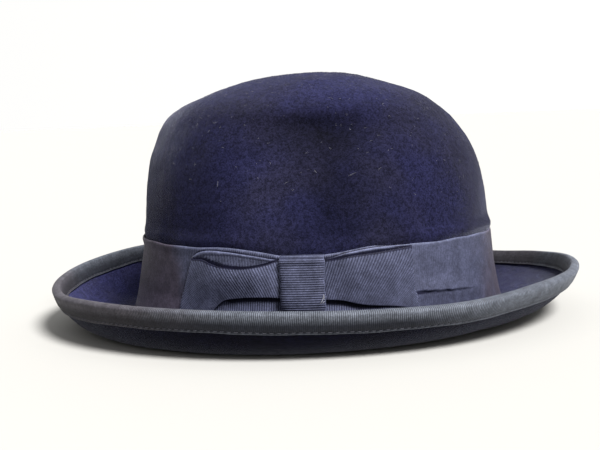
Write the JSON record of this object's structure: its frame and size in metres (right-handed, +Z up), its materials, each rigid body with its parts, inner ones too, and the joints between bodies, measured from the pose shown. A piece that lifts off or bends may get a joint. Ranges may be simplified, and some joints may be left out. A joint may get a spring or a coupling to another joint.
{
  "type": "bowler hat",
  "caption": "Soft fur-felt bowler hat with a round crown, ribbon band and flat side bow, curled ribbon-bound brim, leather sweatband and satin lining.",
  "frame": {"origin": "centre of the brim's outline in plan, on the plane that the brim rests on", "axes": "-X to the front of the hat, -Y to the wearer's left, where the bow is, +Z up through the crown"},
  "size_m": [0.3055, 0.2668, 0.14],
  "materials": {
    "felt": "matte brushed fur felt",
    "ribbon": "ribbed grosgrain with a soft sheen",
    "binding": "ribbed grosgrain with a soft sheen",
    "thread": "twisted thread",
    "leather": "smooth, slightly glossy",
    "reed": "smooth",
    "tape": "plain woven cotton",
    "satin": "satin sheen",
    "label_cloth": "plain woven, blank"
  },
  "bodies": {
    "root": {"felt_body": "felt", "crown_ribbon_band": "ribbon", "bow_loops": "ribbon", "bow_knot": "ribbon", "brim_binding": "binding", "brim_binding_stitches": "thread", "sweatband": "leather", "sweatband_reed": "reed", "sweatband_reed_tape": "tape", "sweatband_stitches": "thread", "sweatband_bow_loops": "ribbon", "sweatband_bow_knot": "ribbon", "lining_side_wall": "satin", "lining_tip": "satin", "size_tab": "label_cloth"}
  },
  "joints": []
}
